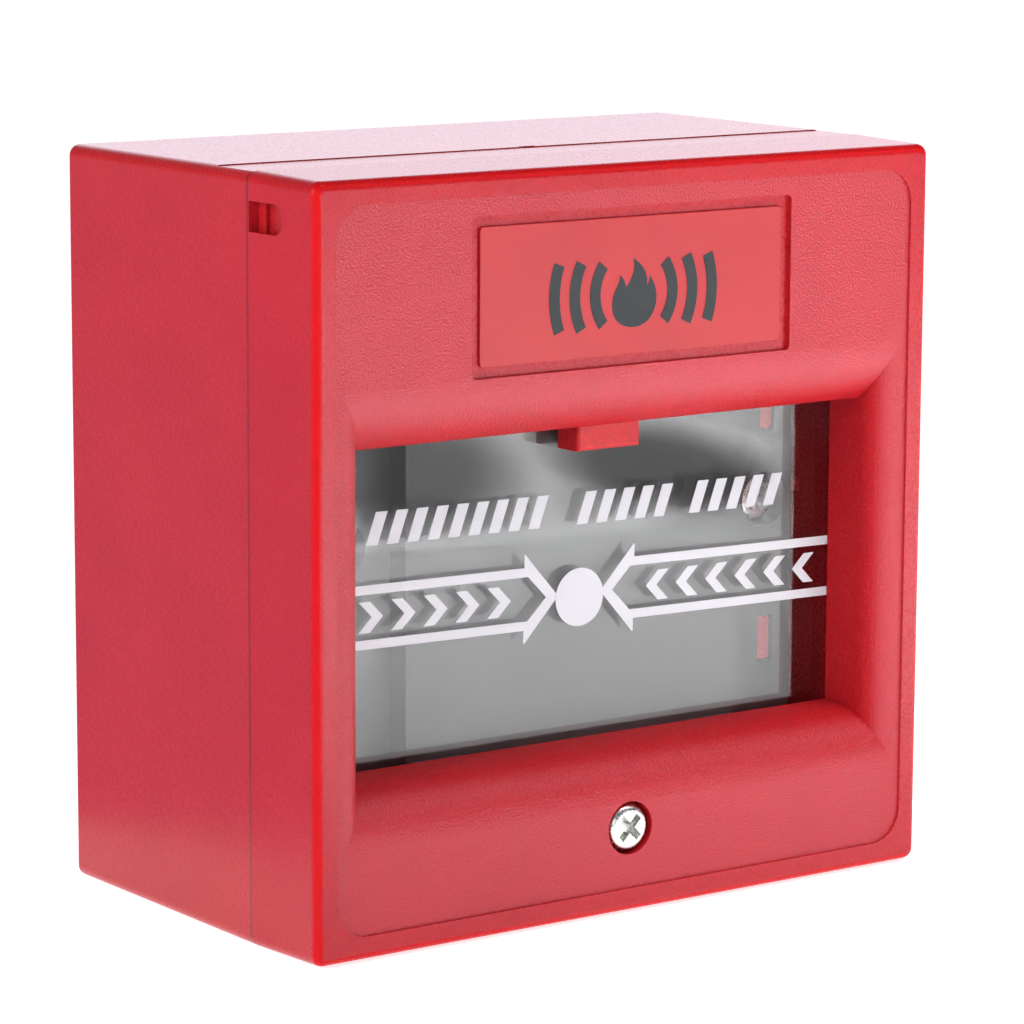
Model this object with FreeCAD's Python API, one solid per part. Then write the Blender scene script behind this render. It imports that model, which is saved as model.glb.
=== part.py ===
import FreeCAD, Part
import math
import os

# Manual call point: a surface-mounted break-glass box for a fire alarm.
# Millimetres. X is the width, +Z is up, the wall is the plane y = 0 and the front faces -Y.
# The origin is the centre of the four wall holes, on the back face.

# --- driving dimensions -------------------------------------------------------------------
HALF = 43.0            # half of the 86 mm square face
DEPTH = 51.0           # wall to front land
SEAM = 38.5            # wall to the joint between box and cover
BOX_WALL = 2.4
REAR_WALL = 2.5
COVER_WALL = 2.2
COVER_TAPER = 0.3      # each side of the cover draws in by this at the front
EDGE_R = 1.3           # long edges
FRONT_R = 1.1          # rim of the front face
REAR_R = 0.5
INNER_R = 1.0          # inside corners of both mouldings

LAP = 0.1              # overlap between bodies that are fused
PAST = 1.0             # how far a cut runs beyond the face it opens
TINY = 1e-6

PANEL_HALF = 40.0      # textured panel, sunk a little below the glossy border
PANEL_R = 4.0
PANEL_SINK = 0.25
PANEL_Y = -(DEPTH - PANEL_SINK)

# finger recess round the glass
GLASS_FRONT = -42.0
RIM_Y = -42.2          # rear of the cover's rim, just in front of the glass
WINDOW_HALF_REAR = 35.6
WINDOW_HALF_FRONT = 36.2
WINDOW_EDGE_R = 3.2
TOP_ROLL_R = 8.0
TOP_ROLL_Z = 19.9      # height where the face starts to roll inwards
TOP_ROLL_ANGLE = 60.0
LOW_ROLL_R = 6.5
LOW_ROLL_Z = -30.4
LOW_LEDGE_Y = PANEL_Y + LOW_ROLL_R
LOW_LEDGE_Z = LOW_ROLL_Z + LOW_ROLL_R
ROLL_WALL = 2.0
RECESS_HALF = 39.6     # half length of the rolls, up to the side walls
CHEEK_OUTER = HALF - COVER_WALL + 0.2
CHEEK_CORE_X = 38.8
CHEEK_CORE_FRONT = -47.5
CHEEK_CORE_ENDS = (5.0, 4.0)

# label pocket and plate
LABEL_Z = 29.0
LABEL_POCKET = (22.25, 8.9)
LABEL_PLATE = (21.0, 7.7)
LABEL_POCKET_DEPTH = 0.6
LABEL_PLATE_HEIGHT = 0.35
LABEL_POCKET_R = 0.6
LABEL_PLATE_R = 0.5
LABEL_EDGE_R = 0.12
LABEL_PIN_R = 1.0
LABEL_PIN_X = 16.0
LABEL_PIN_LENGTH = 1.9
LABEL_PIN_PLAY = 0.05

# cover screw
COVER_SCREW_Z = -33.0
SCREW_HEAD_R = 2.75
SCREW_SINK_R = 3.1
SCREW_SHANK_R = 1.5
SCREW_HOLE_R = 1.7
SCREW_SEAT_Y = -48.6
SCREW_TOP_Y = -50.7
SCREW_TIP_Y = -33.5
SCREW_DOME_R = 0.9
SCREW_CROSS = (1.3, 1.75)          # depth and reach of the cross recess
SCREW_GROOVE_Y = (-39.4, -38.5)
SCREW_GROOVE_DEPTH = 0.25
RETAINER_Y = (-39.3, -38.6)
RETAINER_R = 2.7
RETAINER_BORE_R = 1.3
RETAINER_ROOM_R = 2.9
RETAINER_ROOM_DEPTH = 1.4
COVER_BOSS_R = 3.6
COVER_BOSS_END = -38.2

# joint between box and cover
TONGUE_OUTER = 41.7
TONGUE_TIP = -40.0
TONGUE_ROOT = -38.0
TONGUE_R = 0.9
REBATE = 41.85
REBATE_Y = -40.2
LUG_Z = 38.1
LUG_HALF_Z = 2.5
LUG_INNER = 39.8
LUG_OUTER = 41.2
LUG_TIP = -43.2
LUG_ROOM_TIP = -45.3
LUG_ROOT = -34.5
LUG_PLAY = 0.3
NOTCH_HALF_Z = 1.68
NOTCH_END_Y = -45.0
NOTCH_INNER = REBATE - 0.2
KEY_SLOT_X = (8.5, 16.5)           # slot in the bottom wall for the test key
KEY_SLOT_Y = (-45.6, -40.9)

# back box
BASE_SCREW_X = 30.15   # half of 60.3 mm
BOSS_R = 4.2
BASE_BOSS_FRONT = -30.9
COVER_BOSS_FRONT = -38.0
RIB_HALF = 0.75
RIB_STEP = 1.0         # each rib stops this far behind the front of its boss
RIB_BITE = 0.5
WALL_HOLE_OFFSET = 25.0
WALL_HOLE_R = 2.25
CABLE_R = 10.0
KNOCKOUT_Y = -18.0
KNOCKOUT_DEPTH = 1.6
KNOCKOUT_GROOVE = 0.8
TOP_STEP = (7.5, 0.12)             # length and depth of the step behind the seam
GATE_X = (-1.6, 0.6)
GATE_Y = (-31.6, -30.4)
GATE_DEPTH = 0.5
INSERT_R = 2.1
INSERT_LENGTH = 5.5
INSERT_BORE_R = 1.55
INSERT_BORE_LENGTH = 13.75
POST_X = (29.6, 31.4)
POST_TIP = -35.6
POST_Z = ((-19.4, -14.3), (8.5, 13.6))

# base plate
PLATE_HALF_X = 34.2
PLATE_Z = (-37.5, 36.0)
PLATE_FRONT = -39.2
PLATE_BACK = -37.0
PLATE_R = 0.6
STRIP_X = 23.6         # the middle stands forward of the two side strips
STRIP_FRONT = -36.0
STRIP_BACK = -34.4
TRAY_WALL = 2.0
STRIP_R = 2.5
STRIP_LAP = 1.0
CUP_R = 3.3
CUP_OUTER_R = 4.4
CUP_FLOOR = -32.5
CUP_BACK = -31.0
PAD_X = (16.0, 23.0)               # pads behind the pane's top and bottom edges
PAD_FRONT = -39.9
PAD_Z = ((12.6, 14.8), (-25.8, -24.4))
GUIDE_X = (4.9, 6.2)               # guide for the drop tab
GUIDE_FRONT = -45.0
GUIDE_Z = (15.6, 25.0)
SHELF_X = (15.4, 21.5)             # shelves under the carrier springs
SHELF_FRONT = -44.0
SHELF_BOTTOM = -37.2
SHELF_CHEEK_X = 20.6
SLOT_PLAY = 0.2
BOSS_PLAY = 0.5
ARM_SLOT_X = (-8.1, 4.9)
ARM_SLOT_Z = (12.9, 17.5)
BASE_HEAD_R = 2.7
BASE_HEAD_HEIGHT = 2.0
BASE_DOME_R = 0.7
BASE_CROSS = (1.2, 1.6)
BASE_SHANK_LENGTH = 7.5

# glass pane and what holds it
PANE_HALF_X = 37.8
PANE_THICK = 2.0
PANE_Z = (-26.0, 15.0)
PANE_CHAMFER = 0.25
DROP = 1.8             # travel of pane, carrier and tab
SHELF_CHEEK_TOP = PANE_Z[0] - DROP - 0.4

TAB_HALF_X = 4.4
TAB_FRONT = -46.2
TAB_BACK = -42.4
TAB_BOTTOM = 10.0
TAB_STEP_Z = 13.3
TAB_STEM_FRONT = -45.3
TAB_ARM = (15.15, 17.0)
TAB_EDGE_R = 0.5
TAB_ARM_BACK = -30.6
TAB_FOOT_FRONT = -34.0
TAB_FINGER_X = (-7.5, -5.5)
TAB_FINGER_FRONT = -33.2
TAB_FINGER_GAP = 0.15  # below the switch lever

CARRIER_Y = (-42.05, -40.1)
CARRIER_TOP = PANE_Z[0] - 0.1
CARRIER_LEG_X = (10.0, 15.0)
CARRIER_BAR_Z = (-38.8, -37.7)
CARRIER_DENT_X = (11.0, 14.0)
CARRIER_DENT_Z = (-34.5, -32.5)
CARRIER_DENT_BACK = -41.4
CARRIER_ARM_END = 20.2
CARRIER_ARM_TOP = -28.0
SPRING_X = 18.2
SPRING_Y = -41.1
SPRING_R = 1.6
WIRE_R = 0.25
CARRIER_SPRING_Z = (-35.5, -29.5)
TAB_SPRING_Y = -43.0
TAB_SPRING_Z = (17.0, 23.0)

# circuit board
BOARD_HALF_X = 24.0
BOARD_Z = (-6.0, 34.0)
BOARD_Y = (-28.5, -26.9)
BOARD_R = 1.5
BOARD_HOLE_R = 1.2
PIN_HOLE_R = 0.75
STANDOFF_R = 2.6
STANDOFF_BORE = (1.05, 6.0)        # radius and depth
BOARD_HEAD_R = 2.0
BOARD_HEAD_HEIGHT = 1.4
BOARD_SHANK_R = 1.0
BOARD_SHANK_LENGTH = 6.0
BOARD_CROSS = (0.6, 1.1, 0.5)      # depth, reach and slot width
STANDOFFS = [(x, z) for x in (-21.0, 21.0) for z in (-3.0, 31.0)]

# microswitch, 20 x 6.4 x 10.3
SWITCH_X = (-12.0, 8.0)
SWITCH_Y = (-35.1, -28.7)
SWITCH_Z = (22.0, 32.3)
SWITCH_WALL = 1.2
LID_THICK = 1.0
PIVOT_X, PIVOT_Z = 5.6, 20.7
EAR_X = (PIVOT_X - 1.2, PIVOT_X + 1.4)
EAR_BOTTOM = PIVOT_Z - 1.2
EAR_INNER = (-33.9, -29.9)
LEVER_MID_Y = -31.9
LEVER_THICK = 0.4
LEVER_HALF_WIDTH = 1.75
LEVER_CURL_R = 1.0
LEVER_ROOT = 0.7
PIN_R = 0.5
PIN_PLAY = 0.05
PLUNGER_X = 0.5
PLUNGER_HALF = 0.6
PLUNGER_Y = (-32.7, -31.1)
PLUNGER_PLAY = (0.2, 0.1)          # in its slot, along X and along Y
PLUNGER_GAP = 0.15                 # above the lever
PLUNGER_REACH = 0.4                # below the blade
FLANGE_HALF = 1.6
FLANGE_Y = (-33.4, -30.4)
FLANGE_Z = (24.0, 24.8)
BLADE_Y = (-33.1, -30.7)
BLADE_Z = 26.4
BLADE_FACES = (-0.12, 0.13)
BLADE_TIP_X = -9.8
BLADE_ROOT_X = 5.1
BLADE_ROLL_R = 0.35
CONTACT_X, CONTACT_Y = -8.8, -31.9
CONTACT_R = 1.0
CONTACT_UPPER = (0.9, 1.5)         # above the blade
CONTACT_LOWER = 1.6                # below the blade
CONTACT_STEM_R = 0.4
BLADE_PAD_R = 0.9
BLADE_PAD_HALF = 0.55
TERMINAL_X = (-10.0, -2.0, 6.0)
TERMINAL_Z = 29.6
TERMINAL_HALF = (0.4, 0.25)
TERMINAL_FRONT = -31.2
TERMINAL_TAIL = 1.0

# terminal block, three ways at 5.08 mm
WAY_PITCH = 5.08
BLOCK_X = 8.0
BLOCK_Y = (-26.9, -16.5)
BLOCK_Z = (2.0, 10.4)
BLOCK_MID_Z = 6.4
BLOCK_EDGE_R = 0.4
CAGE_HALF = 1.9
CAGE_PLAY = 0.05
CAGE_DEPTH = (1.5, 7.4)            # room for each cage, from the board
CAGE_BACK = 6.4
CAGE_Z = (3.2, 8.7)
CAGE_ROOM_TOP = 8.8
CAGE_HOLE_HALF = 1.3
CAGE_WALLS = (0.6, 1.2)
WELL_R = 1.8
WELL_DEPTH = 6.0
BLOCK_PIN_R = 0.5
BLOCK_PIN_TAIL = 1.2
CLAMP_HEAD_R = 1.7
CLAMP_HEAD_HEIGHT = 1.4
CLAMP_SUNK = 1.2
CLAMP_SLOT = (0.25, 0.7)           # half width and depth
CLAMP_SHANK_R = 1.25
CLAMP_TIP = 4.0


# --- small helpers ------------------------------------------------------------------------
def box(x, y, z):
    """Box from (low, high) pairs."""
    return Part.makeBox(x[1] - x[0], y[1] - y[0], z[1] - z[0],
                        FreeCAD.Vector(x[0], y[0], z[0]))


def cyl_x(y, z, r, x):
    return Part.makeCylinder(r, x[1] - x[0], FreeCAD.Vector(x[0], y, z), FreeCAD.Vector(1, 0, 0))


def cyl_y(x, z, r, y):
    return Part.makeCylinder(r, y[1] - y[0], FreeCAD.Vector(x, y[0], z), FreeCAD.Vector(0, 1, 0))


def cyl_z(x, y, r, z):
    return Part.makeCylinder(r, z[1] - z[0], FreeCAD.Vector(x, y, z[0]), FreeCAD.Vector(0, 0, 1))


def fuse(first, *others):
    return first.fuse(list(others)).removeSplitter()


def mirrored(shape):
    """The same shape on the other side of the plane x = 0."""
    return shape.mirror(FreeCAD.Vector(0, 0, 0), FreeCAD.Vector(1, 0, 0))


def both_sides(shape):
    return [shape, mirrored(shape)]


def edges_along(shape, axis):
    """Straight edges parallel to an axis: 0 = X, 1 = Y, 2 = Z."""
    found = []
    for edge in shape.Edges:
        if len(edge.Vertexes) != 2 or not isinstance(edge.Curve, (Part.Line, Part.LineSegment)):
            continue
        span = edge.Vertexes[1].Point - edge.Vertexes[0].Point
        if abs(abs(span[axis]) - span.Length) < TINY:
            found.append(edge)
    return found


def rounded_slab(half_x, half_z, y, r, mid_z=0.0):
    """Slab lying across Y with its four Y-direction edges rounded."""
    slab = box((-half_x, half_x), y, (mid_z - half_z, mid_z + half_z))
    return slab.makeFillet(r, edges_along(slab, 1))


def rounded_wire(half, y, r):
    """Square outline with rounded corners in the plane at y."""
    corner = half - r
    diag = r * math.sqrt(0.5)
    pieces = []
    for quarter in range(4):
        turn = FreeCAD.Rotation(FreeCAD.Vector(0, 1, 0), 90.0 * quarter)
        at = [turn.multVec(FreeCAD.Vector(*p)) for p in (
            (-corner, y, half), (corner, y, half),
            (corner + diag, y, corner + diag), (half, y, corner))]
        pieces.append(Part.LineSegment(at[0], at[1]).toShape())
        pieces.append(Part.Arc(at[1], at[2], at[3]).toShape())
    return Part.Wire(pieces)


def profile_yz(pieces, x):
    """Solid from a closed (y, z) outline of lines and arcs, pushed along X."""
    edges = []
    for kind, *points in pieces:
        at = [FreeCAD.Vector(x[0], y, z) for y, z in points]
        shape = Part.LineSegment(*at) if kind == "line" else Part.Arc(*at)
        edges.append(shape.toShape())
    face = Part.Face(Part.Wire(edges))
    return face.extrude(FreeCAD.Vector(x[1] - x[0], 0, 0))


def on_circle(centre, r, degrees):
    """Point of a roll: 0 degrees faces -Y, 90 degrees faces down for the top roll."""
    turn = math.radians(degrees)
    return centre[0] - r * math.cos(turn), centre[1] - r * math.sin(turn)


def coil(x, y, z, r, turns=5):
    """Compression spring standing along Z with its wire inside the given span."""
    length = z[1] - z[0] - 2 * WIRE_R
    helix = Part.makeLongHelix(length / turns, length, r - WIRE_R)
    ring = Part.Wire(Part.makeCircle(WIRE_R, FreeCAD.Vector(r - WIRE_R, 0, 0),
                                     FreeCAD.Vector(0, 1, 0)))
    wire = Part.Wire(helix).makePipeShell([ring], True, True)
    wire.translate(FreeCAD.Vector(x, y, z[0] + WIRE_R))
    return wire


def cross_recess(x, z, y_top, depth, reach, slot=0.9, angle=45.0):
    """Cross-shaped drive recess cut from one unit in front of a screw head down to a depth."""
    arm = box((-reach, reach), (y_top - PAST, y_top + depth), (-slot / 2, slot / 2))
    cut = []
    for turn in (angle, angle + 90.0):
        one = arm.copy()
        one.rotate(FreeCAD.Vector(0, 0, 0), FreeCAD.Vector(0, 1, 0), turn)
        one.translate(FreeCAD.Vector(x, 0, z))
        cut.append(one)
    cut.append(cyl_y(x, z, 0.75 * slot, (y_top - PAST, y_top + depth)))
    return fuse(*cut)


# --- back box -----------------------------------------------------------------------------
def back_box():
    shell = rounded_slab(HALF, HALF, (-SEAM, 0), EDGE_R)
    rear = [e for e in shell.Edges if all(abs(v.Point.y) < TINY for v in e.Vertexes)]
    shell = shell.makeFillet(REAR_R, rear)
    inner = HALF - BOX_WALL
    shell = shell.cut(rounded_slab(inner, inner, (-SEAM - PAST, -REAR_WALL), INNER_R))

    tongue = rounded_slab(TONGUE_OUTER, TONGUE_OUTER, (TONGUE_TIP, TONGUE_ROOT), TONGUE_R)
    tongue = tongue.cut(rounded_slab(inner, inner, (TONGUE_TIP - PAST, -SEAM + PAST), INNER_R))
    lug_z = (LUG_Z - LUG_HALF_Z, LUG_Z + LUG_HALF_Z)
    lug = fuse(box((LUG_INNER, LUG_OUTER), (LUG_TIP, TONGUE_ROOT), lug_z),
               box((LUG_INNER, inner + LAP), (-SEAM, LUG_ROOT), lug_z))
    parts = [tongue, *both_sides(lug)]
    floor_y = -REAR_WALL + LAP

    for x in (-BASE_SCREW_X, BASE_SCREW_X):
        parts.append(cyl_y(x, 0, BOSS_R, (BASE_BOSS_FRONT, floor_y)))
    rib = box((BASE_SCREW_X + BOSS_R - RIB_BITE, inner + LAP),
              (BASE_BOSS_FRONT + RIB_STEP, floor_y), (-RIB_HALF, RIB_HALF))
    parts += both_sides(rib)
    parts.append(cyl_y(0, COVER_SCREW_Z, BOSS_R, (COVER_BOSS_FRONT, floor_y)))
    parts.append(box((-RIB_HALF, RIB_HALF), (COVER_BOSS_FRONT + RIB_STEP, floor_y),
                     (-inner - LAP, COVER_SCREW_Z - BOSS_R + RIB_BITE)))
    for z in POST_Z:
        parts += both_sides(box(POST_X, (POST_TIP, floor_y), z))
    shell = fuse(shell, *parts)

    for x, z, front in insert_places():
        shell = shell.cut(cyl_y(x, z, INSERT_R, (front - PAST, front + INSERT_LENGTH)))
        shell = shell.cut(cyl_y(x, z, INSERT_BORE_R, (front, front + INSERT_BORE_LENGTH)))
    for x in (-WALL_HOLE_OFFSET, WALL_HOLE_OFFSET):
        for z in (-WALL_HOLE_OFFSET, WALL_HOLE_OFFSET):
            shell = shell.cut(cyl_y(x, z, WALL_HOLE_R, (-REAR_WALL - PAST, PAST)))
    shell = shell.cut(cyl_y(0, 0, CABLE_R, (-REAR_WALL - PAST, PAST)))
    # knock-outs in the top and bottom walls, grooved from inside
    for z in ((inner - PAST, inner + KNOCKOUT_DEPTH), (-inner - KNOCKOUT_DEPTH, -inner + PAST)):
        ring = cyl_z(0, KNOCKOUT_Y, CABLE_R, z)
        shell = shell.cut(ring.cut(cyl_z(0, KNOCKOUT_Y, CABLE_R - KNOCKOUT_GROOVE, z)))
    # shallow step across the top, just behind the seam, with a small gate mark
    length, depth = TOP_STEP
    shell = shell.cut(box((-HALF - PAST, HALF + PAST), (-SEAM - PAST, -SEAM + length),
                          (HALF - depth, HALF + PAST)))
    return shell.cut(box(GATE_X, GATE_Y, (HALF - GATE_DEPTH, HALF + PAST)))


def insert_places():
    return [(-BASE_SCREW_X, 0, BASE_BOSS_FRONT), (BASE_SCREW_X, 0, BASE_BOSS_FRONT),
            (0, COVER_SCREW_Z, COVER_BOSS_FRONT)]


def threaded_inserts():
    """Brass inserts for the two base screws and the cover screw."""
    inserts = []
    for x, z, front in insert_places():
        span = (front, front + INSERT_LENGTH)
        sleeve = cyl_y(x, z, INSERT_R, span).cut(cyl_y(x, z, INSERT_BORE_R, span))
        inserts.append(sleeve)
    return Part.makeCompound(inserts)


# --- front cover --------------------------------------------------------------------------
def top_roll():
    """Upper edge of the finger recess: the face rolls inwards and ends in a lip."""
    centre = (PANEL_Y + TOP_ROLL_R, TOP_ROLL_Z)
    inner_r = TOP_ROLL_R - ROLL_WALL
    half = TOP_ROLL_ANGLE / 2
    outer = [on_circle(centre, TOP_ROLL_R, a) for a in (0, half, TOP_ROLL_ANGLE)]
    inner = [on_circle(centre, inner_r, a) for a in (TOP_ROLL_ANGLE, half, 0)]
    return profile_yz([("arc", *outer), ("line", outer[2], inner[0]),
                       ("arc", *inner), ("line", inner[2], outer[0])], (-RECESS_HALF, RECESS_HALF))


def low_roll():
    """Lower edge of the finger recess: a flat ledge that rolls down to the face."""
    centre = (LOW_LEDGE_Y, LOW_ROLL_Z)
    inner_r = LOW_ROLL_R - ROLL_WALL
    outer = [on_circle(centre, LOW_ROLL_R, a) for a in (0, -45, -90)]
    inner = [on_circle(centre, inner_r, a) for a in (-90, -45, 0)]
    ledge = (RIM_Y, LOW_LEDGE_Z)
    under = (RIM_Y, LOW_LEDGE_Z - ROLL_WALL)
    return profile_yz([("arc", *outer), ("line", outer[2], ledge), ("line", ledge, under),
                       ("line", under, inner[0]), ("arc", *inner),
                       ("line", inner[2], outer[0])], (-RECESS_HALF, RECESS_HALF))


def cheek():
    """Side wall of the finger recess, drafted and rounded at the face."""
    z = (LOW_ROLL_Z, TOP_ROLL_Z)
    corners = [(WINDOW_HALF_REAR, RIM_Y), (WINDOW_HALF_FRONT, PANEL_Y),
               (CHEEK_OUTER, PANEL_Y), (CHEEK_OUTER, RIM_Y)]
    ring = [FreeCAD.Vector(x, y, z[0]) for x, y in corners]
    wall = Part.Face(Part.makePolygon(ring + ring[:1])).extrude(FreeCAD.Vector(0, 0, z[1] - z[0]))
    front = [e for e in edges_along(wall, 2)
             if abs(e.Vertexes[0].Point.x - WINDOW_HALF_FRONT) < TINY]
    wall = wall.makeFillet(WINDOW_EDGE_R, front)
    low_end, high_end = CHEEK_CORE_ENDS
    core = box((CHEEK_CORE_X, HALF - COVER_WALL), (CHEEK_CORE_FRONT, RIM_Y + PAST),
               (z[0] + low_end, z[1] - high_end))
    return wall.cut(core)


def notch():
    """D-shaped notch in the side of the cover, open at the seam."""
    mid_y = NOTCH_END_Y + NOTCH_HALF_Z
    x = (NOTCH_INNER, HALF + PAST)
    flat = box(x, (mid_y, -SEAM + PAST), (LUG_Z - NOTCH_HALF_Z, LUG_Z + NOTCH_HALF_Z))
    return fuse(flat, cyl_x(mid_y, LUG_Z, NOTCH_HALF_Z, x))


def front_cover():
    rear = rounded_wire(HALF, -SEAM, EDGE_R)
    front = rounded_wire(HALF - COVER_TAPER, -DEPTH, EDGE_R)
    shell = Part.makeLoft([rear, front], True, True)
    rim = [e for e in shell.Edges if all(abs(v.Point.y + DEPTH) < TINY for v in e.Vertexes)]
    shell = shell.makeFillet(FRONT_R, rim)
    shell = shell.cut(rounded_slab(PANEL_HALF, PANEL_HALF, (-DEPTH - PAST, PANEL_Y), PANEL_R))

    inner = HALF - COVER_WALL
    cavity_y = -(DEPTH - COVER_WALL)
    shell = shell.cut(rounded_slab(inner, inner, (cavity_y, -SEAM + PAST), INNER_R))
    shell = shell.cut(rounded_slab(REBATE, REBATE, (REBATE_Y, -SEAM + PAST), INNER_R))
    shell = shell.cut(box((-RECESS_HALF, RECESS_HALF), (-DEPTH - PAST, cavity_y + LAP),
                          (LOW_ROLL_Z, TOP_ROLL_Z)))
    shell = fuse(shell, top_roll(), low_roll(), *both_sides(cheek()))

    boss = cyl_y(0, COVER_SCREW_Z, COVER_BOSS_R, (cavity_y - LAP, COVER_BOSS_END))
    shell = fuse(shell, boss)
    shell = shell.cut(cyl_y(0, COVER_SCREW_Z, SCREW_SINK_R, (-DEPTH - PAST, SCREW_SEAT_Y)))
    shell = shell.cut(cyl_y(0, COVER_SCREW_Z, SCREW_HOLE_R, (-DEPTH, -SEAM + PAST)))
    shell = shell.cut(cyl_y(0, COVER_SCREW_Z, RETAINER_ROOM_R,
                            (COVER_BOSS_END - RETAINER_ROOM_DEPTH, -SEAM + PAST)))

    pocket = rounded_slab(*LABEL_POCKET, (PANEL_Y - PAST, PANEL_Y + LABEL_POCKET_DEPTH),
                          LABEL_POCKET_R, LABEL_Z)
    shell = shell.cut(pocket)
    for x in (-LABEL_PIN_X, LABEL_PIN_X):
        shell = shell.cut(cyl_y(x, LABEL_Z, LABEL_PIN_R + LABEL_PIN_PLAY,
                                (-DEPTH, cavity_y + PAST)))

    lug_half_z = LUG_HALF_Z + LUG_PLAY
    lug_room = box((LUG_INNER - LUG_PLAY, REBATE), (LUG_ROOM_TIP, -SEAM + PAST),
                   (LUG_Z - lug_half_z, LUG_Z + lug_half_z))
    for tool in both_sides(lug_room) + both_sides(notch()):
        shell = shell.cut(tool)
    return shell.cut(box(KEY_SLOT_X, KEY_SLOT_Y, (-HALF - PAST, -inner + PAST)))


def label_plate():
    floor_y = PANEL_Y + LABEL_POCKET_DEPTH
    top_y = floor_y - LABEL_PLATE_HEIGHT
    plate = rounded_slab(*LABEL_PLATE, (top_y, floor_y), LABEL_PLATE_R, LABEL_Z)
    rim = [e for e in plate.Edges if all(abs(v.Point.y - top_y) < TINY for v in e.Vertexes)]
    plate = plate.makeFillet(LABEL_EDGE_R, rim)
    pins = [cyl_y(x, LABEL_Z, LABEL_PIN_R, (floor_y - LAP, floor_y + LABEL_PIN_LENGTH))
            for x in (-LABEL_PIN_X, LABEL_PIN_X)]
    return fuse(plate, *pins)


def cover_screw():
    head = cyl_y(0, COVER_SCREW_Z, SCREW_HEAD_R, (SCREW_TOP_Y, SCREW_SEAT_Y))
    top = [e for e in head.Edges if len(e.Vertexes) == 1 and
           abs(e.Vertexes[0].Point.y - SCREW_TOP_Y) < TINY]
    head = head.makeFillet(SCREW_DOME_R, top)
    head = head.cut(cross_recess(0, COVER_SCREW_Z, SCREW_TOP_Y, *SCREW_CROSS))
    shank = cyl_y(0, COVER_SCREW_Z, SCREW_SHANK_R, (SCREW_SEAT_Y - LAP, SCREW_TIP_Y))
    neck_r = SCREW_SHANK_R - SCREW_GROOVE_DEPTH
    groove = cyl_y(0, COVER_SCREW_Z, SCREW_SHANK_R + PAST, SCREW_GROOVE_Y)
    return fuse(head, shank).cut(groove.cut(cyl_y(0, COVER_SCREW_Z, neck_r, SCREW_GROOVE_Y)))


def screw_retainer():
    """Nylon washer in the groove of the cover screw, which keeps it in the cover."""
    ring = cyl_y(0, COVER_SCREW_Z, RETAINER_R, RETAINER_Y)
    return ring.cut(cyl_y(0, COVER_SCREW_Z, RETAINER_BORE_R, RETAINER_Y))


# --- base plate ---------------------------------------------------------------------------
def base_plate():
    mid_z = sum(PLATE_Z) / 2
    half_z = (PLATE_Z[1] - PLATE_Z[0]) / 2
    plate = rounded_slab(STRIP_X + STRIP_LAP, half_z, (PLATE_FRONT, STRIP_BACK), PLATE_R, mid_z)
    plate = fuse(plate, rounded_slab(PLATE_HALF_X, half_z, (STRIP_FRONT, STRIP_BACK), STRIP_R,
                                     mid_z))
    edge = box((STRIP_X, STRIP_X + 2 * STRIP_LAP), (PLATE_FRONT - PAST, STRIP_FRONT),
               (-HALF, HALF))
    for tool in both_sides(edge):
        plate = plate.cut(tool)
    hollow_x = STRIP_X - TRAY_WALL
    plate = plate.cut(box((-hollow_x, hollow_x), (PLATE_BACK, STRIP_BACK + PAST),
                          (PLATE_Z[0] + TRAY_WALL, PLATE_Z[1] - TRAY_WALL)))

    parts = []
    for x in (-BASE_SCREW_X, BASE_SCREW_X):
        parts.append(cyl_y(x, 0, CUP_OUTER_R, (STRIP_BACK - LAP, CUP_BACK)))
    face_y = PLATE_FRONT + LAP
    for z in PAD_Z:
        parts += both_sides(box(PAD_X, (PAD_FRONT, face_y), z))
    # guide for the drop tab, with the shelf that its spring pushes against
    parts += both_sides(box(GUIDE_X, (GUIDE_FRONT, face_y), GUIDE_Z))
    parts.append(box((-GUIDE_X[1], GUIDE_X[1]), (GUIDE_FRONT, face_y),
                     (TAB_SPRING_Z[1], GUIDE_Z[1])))
    # shelves under the carrier springs, with a cheek that guides each carrier leg
    shelf = fuse(box(SHELF_X, (SHELF_FRONT, face_y), (SHELF_BOTTOM, CARRIER_SPRING_Z[0])),
                 box((SHELF_CHEEK_X, SHELF_X[1]), (SHELF_FRONT, face_y),
                     (SHELF_BOTTOM, SHELF_CHEEK_TOP)))
    parts += both_sides(shelf)
    for x, z in STANDOFFS:
        parts.append(cyl_y(x, z, STANDOFF_R, (PLATE_BACK - LAP, BOARD_Y[0])))
    plate = fuse(plate, *parts)

    for x in (-BASE_SCREW_X, BASE_SCREW_X):
        plate = plate.cut(cyl_y(x, 0, CUP_R, (PLATE_FRONT - PAST, CUP_FLOOR)))
        plate = plate.cut(cyl_y(x, 0, SCREW_HOLE_R, (CUP_FLOOR - PAST, CUP_BACK + PAST)))
    through = (PLATE_FRONT - PAST, STRIP_BACK + PAST)
    for z in POST_Z:
        slot = box((POST_X[0] - SLOT_PLAY, POST_X[1] + SLOT_PLAY), through,
                   (z[0] - SLOT_PLAY, z[1] + SLOT_PLAY))
        for tool in both_sides(slot):
            plate = plate.cut(tool)
    plate = plate.cut(cyl_y(0, COVER_SCREW_Z, BOSS_R + BOSS_PLAY, through))
    # slot for the arm of the drop tab
    plate = plate.cut(box(ARM_SLOT_X, through, ARM_SLOT_Z))
    bore_r, bore_depth = STANDOFF_BORE
    for x, z in STANDOFFS:
        plate = plate.cut(cyl_y(x, z, bore_r, (BOARD_Y[0] - bore_depth, BOARD_Y[0] + PAST)))
    return plate


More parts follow.
